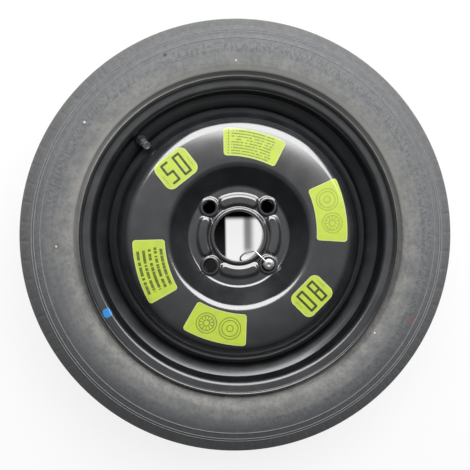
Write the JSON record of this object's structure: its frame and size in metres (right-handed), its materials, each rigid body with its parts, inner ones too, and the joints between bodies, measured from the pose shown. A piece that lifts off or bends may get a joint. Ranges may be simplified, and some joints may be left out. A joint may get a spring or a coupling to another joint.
{
  "type": "spare wheel",
  "caption": "Narrow temporary spare wheel: a slim tyre on a black steel rim with a pressed disc, a snap-in valve with a screw cap, and lime stickers on the disc.",
  "frame": {"origin": "centre of the hub bore, in the plane of the hub face on the back of the disc", "axes": "+Z along the wheel's axis, out of the vehicle; +X to the right in the picture, +Y up in it"},
  "size_m": [0.5684, 0.5684, 0.134],
  "materials": {
    "tyre_rubber": "worn matt rubber",
    "black_enamel": "gloss black paint",
    "painted_weld": "gloss black paint over weld metal",
    "valve_rubber": "satin black rubber",
    "valve_brass": "machined brass",
    "core_steel": "drawn steel wire",
    "core_gasket": "white sealing plastic",
    "cap_plastic": "black moulded plastic",
    "lime_vinyl": "printed lime vinyl"
  },
  "bodies": {
    "wheel": {"tyre": "tyre_rubber", "wheel_rim": "black_enamel", "wheel_disc": "black_enamel", "disc_welds": "painted_weld", "valve_stem": "valve_rubber", "valve_insert": "valve_brass", "valve_core_plug": "valve_brass", "valve_core_barrel": "valve_brass", "valve_core_gasket": "core_gasket", "valve_core_spring": "core_steel", "sticker_number_upper": "lime_vinyl", "sticker_number_lower": "lime_vinyl", "sticker_lines_top": "lime_vinyl", "sticker_lines_left": "lime_vinyl", "sticker_rings_right": "lime_vinyl", "sticker_rings_bottom": "lime_vinyl"},
    "core_pin": {"valve_core_pin": "core_steel", "valve_core_seal": "valve_rubber"},
    "cap_washer": {"valve_cap_seal": "valve_rubber"},
    "cap": {"valve_cap": "cap_plastic"}
  },
  "joints": [
    {"name": "pin_press", "type": "slide", "parent": "wheel", "child": "core_pin", "axis": [-0.3801, 0.3801, -0.8433], "range_m": [0, 0.0012], "stiffness_N_per_m": 300, "springref_m": -0.003, "deforming": ["valve_core_spring"]},
    {"name": "cap_travel", "type": "slide", "parent": "wheel", "child": "cap_washer", "axis": [0.3801, -0.3801, 0.8433], "range_m": [0, 0.00476]},
    {"name": "cap_turn", "type": "hinge", "parent": "cap_washer", "child": "cap", "pos_m": [-0.12762, 0.12762, -0.0011], "axis": [0.3801, -0.3801, 0.8433], "range_deg": [0, 2160]}
  ],
  "couplings": [
    {"joint": "cap_turn", "follows": "cap_travel", "rad_per_m": 7915.8}
  ]
}
